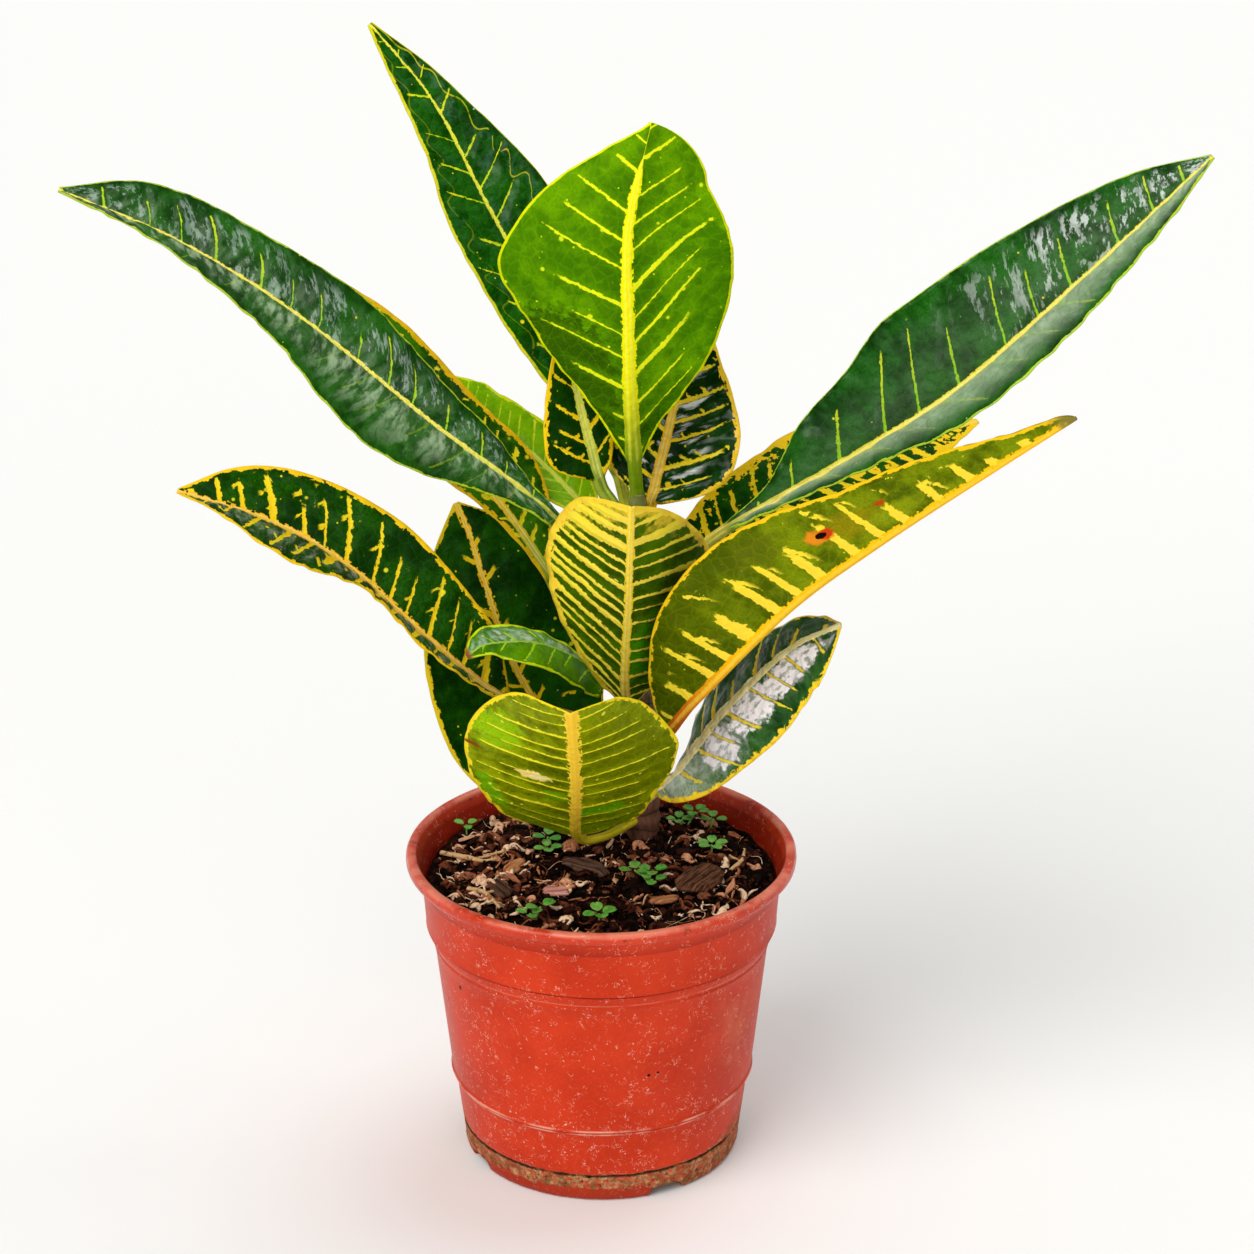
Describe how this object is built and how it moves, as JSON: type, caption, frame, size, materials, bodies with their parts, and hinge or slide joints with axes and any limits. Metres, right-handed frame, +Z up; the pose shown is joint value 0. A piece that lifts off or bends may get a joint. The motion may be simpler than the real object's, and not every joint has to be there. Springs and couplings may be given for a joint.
{
  "type": "potted croton plant",
  "caption": "Potted croton: long glossy variegated leaves on one woody stem, in moist soil with weed seedlings, in a round moulded nursery pot.",
  "frame": {"origin": "middle of the pot's flat underside, where it stands", "axes": "+Z up along the pot; +Y to the back, away from the side with the heart-shaped front leaf; +X to the right, towards the longest glossy leaf"},
  "size_m": [0.3598, 0.1706, 0.3618],
  "materials": {
    "pot_plastic": "red-orange moulded plastic, worn satin, with scratches and dirt at the foot",
    "soil": "moist dark brown potting soil with fibres and crumbs",
    "stem_bark": "grey-brown bark with leaf scars, green at the top",
    "leaf_dark": "glossy waxy dark green leaf with yellow veins and margin",
    "leaf_lime": "young lime green leaf with pale yellow veins, soft gloss",
    "leaf_gold": "olive green leaf with bold yellow veins and margin, soft gloss",
    "seedling_green": "thin fresh green seedling leaflets",
    "bark_chip": "split bark and wood chips, brown to orange",
    "twig": "dry tan twigs and roots"
  },
  "bodies": {
    "root": {"pot": "pot_plastic", "soil": "soil", "stem": "stem_bark", "leaf_1": "leaf_dark", "leaf_2": "leaf_dark", "leaf_3": "leaf_lime", "leaf_4": "leaf_dark", "leaf_5": "leaf_lime", "leaf_6": "leaf_dark", "leaf_7": "leaf_gold", "leaf_8": "leaf_dark", "leaf_9": "leaf_gold", "leaf_10": "leaf_dark", "leaf_12": "leaf_lime", "leaf_13": "leaf_gold", "leaf_14": "leaf_gold", "leaf_15": "leaf_dark", "leaf_16": "leaf_dark", "leaf_17": "leaf_gold", "seedling_front": "seedling_green", "seedling_front_left": "seedling_green", "seedling_left": "seedling_green", "seedling_middle": "seedling_green", "seedling_back": "seedling_green", "seedling_right": "seedling_green", "seedling_back_right": "seedling_green", "seedling_patch": "seedling_green", "seedling_far_left": "seedling_green", "chip_large": "bark_chip", "chip_orange_left": "bark_chip", "chip_pink": "bark_chip", "chip_orange_front": "bark_chip", "chip_brown_middle": "bark_chip", "chip_brown_left": "bark_chip", "twig_left": "twig", "twig_front_left": "twig", "twig_right": "twig"}
  },
  "joints": []
}
